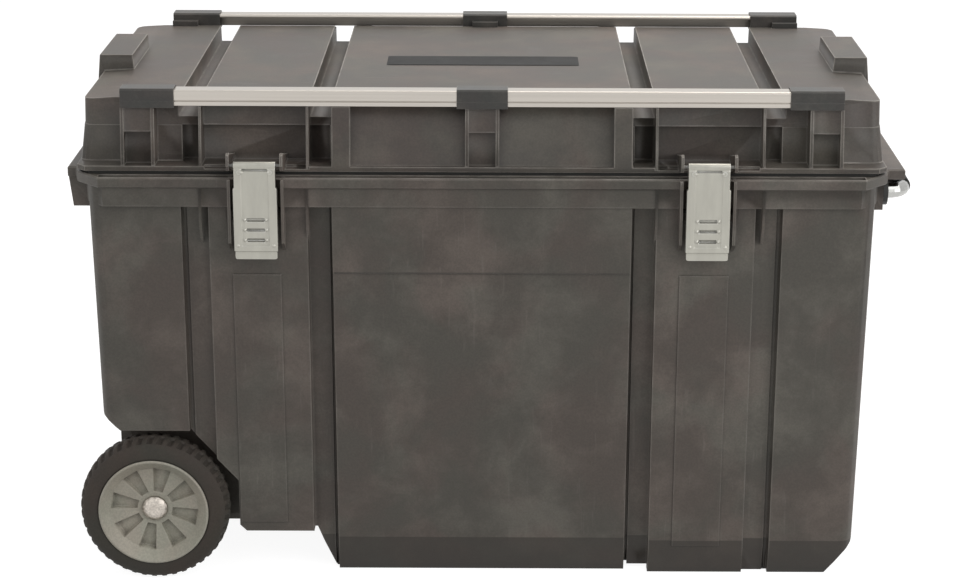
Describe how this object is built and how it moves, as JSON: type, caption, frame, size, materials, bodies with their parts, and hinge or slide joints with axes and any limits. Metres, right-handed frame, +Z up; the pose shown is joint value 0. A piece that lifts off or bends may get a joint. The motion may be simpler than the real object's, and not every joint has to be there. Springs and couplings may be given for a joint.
{
  "type": "wheeled tool chest",
  "caption": "Large rolling jobsite storage box with a hinged lid, aluminium tie-down rails, flip latches, wheels at one end and a pull-out tow handle at the other.",
  "frame": {"origin": "on the floor, under the middle of the part's bounding box", "axes": "+X along the length from the wheels to the tow handle, +Y from the latches to the lid's hinges, +Z up"},
  "size_m": [1.012, 0.5774, 0.6135],
  "materials": {
    "tub_plastic": "moulded, faintly mottled",
    "lid_plastic": "moulded, faintly mottled",
    "seal_rubber": "matte",
    "rail_aluminium": "satin anodised",
    "cap_plastic": "moulded",
    "latch_steel": "satin zinc plated",
    "pin_steel": "zinc plated",
    "cap_metal": "bright",
    "tyre_rubber": "matte",
    "hub_plastic": "moulded",
    "handle_chrome": "bright",
    "grip_rubber": "matte",
    "guide_plastic": "moulded"
  },
  "bodies": {
    "chest": {"tub": "tub_plastic", "handle_sleeve_front": "guide_plastic", "handle_sleeve_back": "guide_plastic", "handle_bushing_front": "guide_plastic", "handle_bushing_back": "guide_plastic", "axle": "pin_steel", "axle_washer_front": "pin_steel", "axle_washer_back": "pin_steel", "axle_cap_front": "cap_metal", "axle_cap_back": "cap_metal", "hinge_pin_left": "pin_steel", "hinge_pin_middle": "pin_steel", "hinge_pin_right": "pin_steel"},
    "lid": {"lid": "lid_plastic", "lid_seal": "seal_rubber", "rail_front": "rail_aluminium", "rail_back": "rail_aluminium", "rail_clip_front": "cap_plastic", "rail_clip_back": "cap_plastic", "rail_cap_front_left": "cap_plastic", "rail_cap_front_right": "cap_plastic", "rail_cap_back_left": "cap_plastic", "rail_cap_back_right": "cap_plastic", "latch_pin_left": "pin_steel", "latch_pin_right": "pin_steel"},
    "latch_left": {"latch_plate_left": "latch_steel", "latch_hook_left": "latch_steel", "latch_rivet_left_a": "latch_steel", "latch_rivet_left_b": "latch_steel"},
    "latch_right": {"latch_plate_right": "latch_steel", "latch_hook_right": "latch_steel", "latch_rivet_right_a": "latch_steel", "latch_rivet_right_b": "latch_steel"},
    "wheel_front": {"tyre_front": "tyre_rubber", "hub_front": "hub_plastic"},
    "wheel_back": {"tyre_back": "tyre_rubber", "hub_back": "hub_plastic"},
    "tow_handle": {"handle_tube": "handle_chrome", "handle_grip": "grip_rubber"}
  },
  "joints": [
    {"name": "lid_hinge", "type": "hinge", "parent": "chest", "child": "lid", "pos_m": [0, 0.2727, 0.519], "axis": [-1, 0, 0], "range_deg": [0, 100]},
    {"name": "latch_left_hinge", "type": "hinge", "parent": "lid", "child": "latch_left", "pos_m": [-0.277, -0.2823, 0.5283], "axis": [-1, 0, 0], "range_deg": [0, 150]},
    {"name": "latch_right_hinge", "type": "hinge", "parent": "lid", "child": "latch_right", "pos_m": [0.253, -0.2823, 0.5283], "axis": [-1, 0, 0], "range_deg": [0, 150]},
    {"name": "wheel_front_spin", "type": "hinge", "parent": "chest", "child": "wheel_front", "pos_m": [-0.412, -0.2573, 0.0914], "axis": [0, 1, 0], "continuous": true},
    {"name": "wheel_back_spin", "type": "hinge", "parent": "chest", "child": "wheel_back", "pos_m": [-0.412, 0.2627, 0.0914], "axis": [0, 1, 0], "continuous": true},
    {"name": "tow_handle_slide", "type": "slide", "parent": "chest", "child": "tow_handle", "axis": [1, 0, 0], "range_m": [0, 0.3]}
  ]
}
